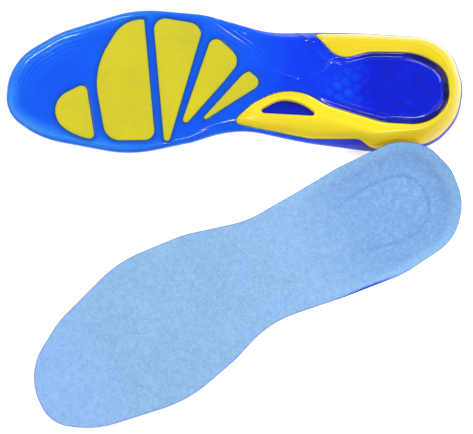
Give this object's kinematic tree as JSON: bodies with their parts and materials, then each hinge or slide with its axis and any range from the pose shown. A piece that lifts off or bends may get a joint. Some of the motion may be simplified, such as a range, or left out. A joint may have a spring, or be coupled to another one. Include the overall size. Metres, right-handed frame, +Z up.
{
  "type": "cushioned insole pair",
  "caption": "Pair of full-length cushioned gel shoe insoles, one shown from below with its forefoot pads and heel frame, one from above with its fabric cover.",
  "frame": {"origin": "centre of the pair's footprint, on the surface it lies on", "axes": "+X along the left insole from toe to heel, +Y from the right insole towards the left one, +Z up"},
  "size_m": [0.2906, 0.2642, 0.018],
  "materials": {
    "blue_gel": "glossy, slightly see-through royal blue moulded gel",
    "pad_gel": "satin greenish yellow soft gel",
    "frame_gel": "glossy bright yellow firm gel",
    "textile": "matt light blue short-nap textile"
  },
  "bodies": {
    "left_insole": {"left_gel_body": "blue_gel", "left_fabric_cover": "textile", "left_heel_frame": "frame_gel", "left_forefoot_pad_1": "pad_gel", "left_forefoot_pad_2": "pad_gel", "left_forefoot_pad_3": "pad_gel", "left_forefoot_pad_4": "pad_gel", "left_forefoot_pad_5": "pad_gel"},
    "right_insole": {"right_gel_body": "blue_gel", "right_fabric_cover": "textile", "right_heel_frame": "frame_gel", "right_forefoot_pad_1": "pad_gel", "right_forefoot_pad_2": "pad_gel", "right_forefoot_pad_3": "pad_gel", "right_forefoot_pad_4": "pad_gel", "right_forefoot_pad_5": "pad_gel"}
  },
  "joints": [
    {"name": "right_insole_lift", "type": "slide", "parent": "left_insole", "child": "right_insole", "axis": [0, 0, 1], "range_m": [0, 0.08]}
  ]
}
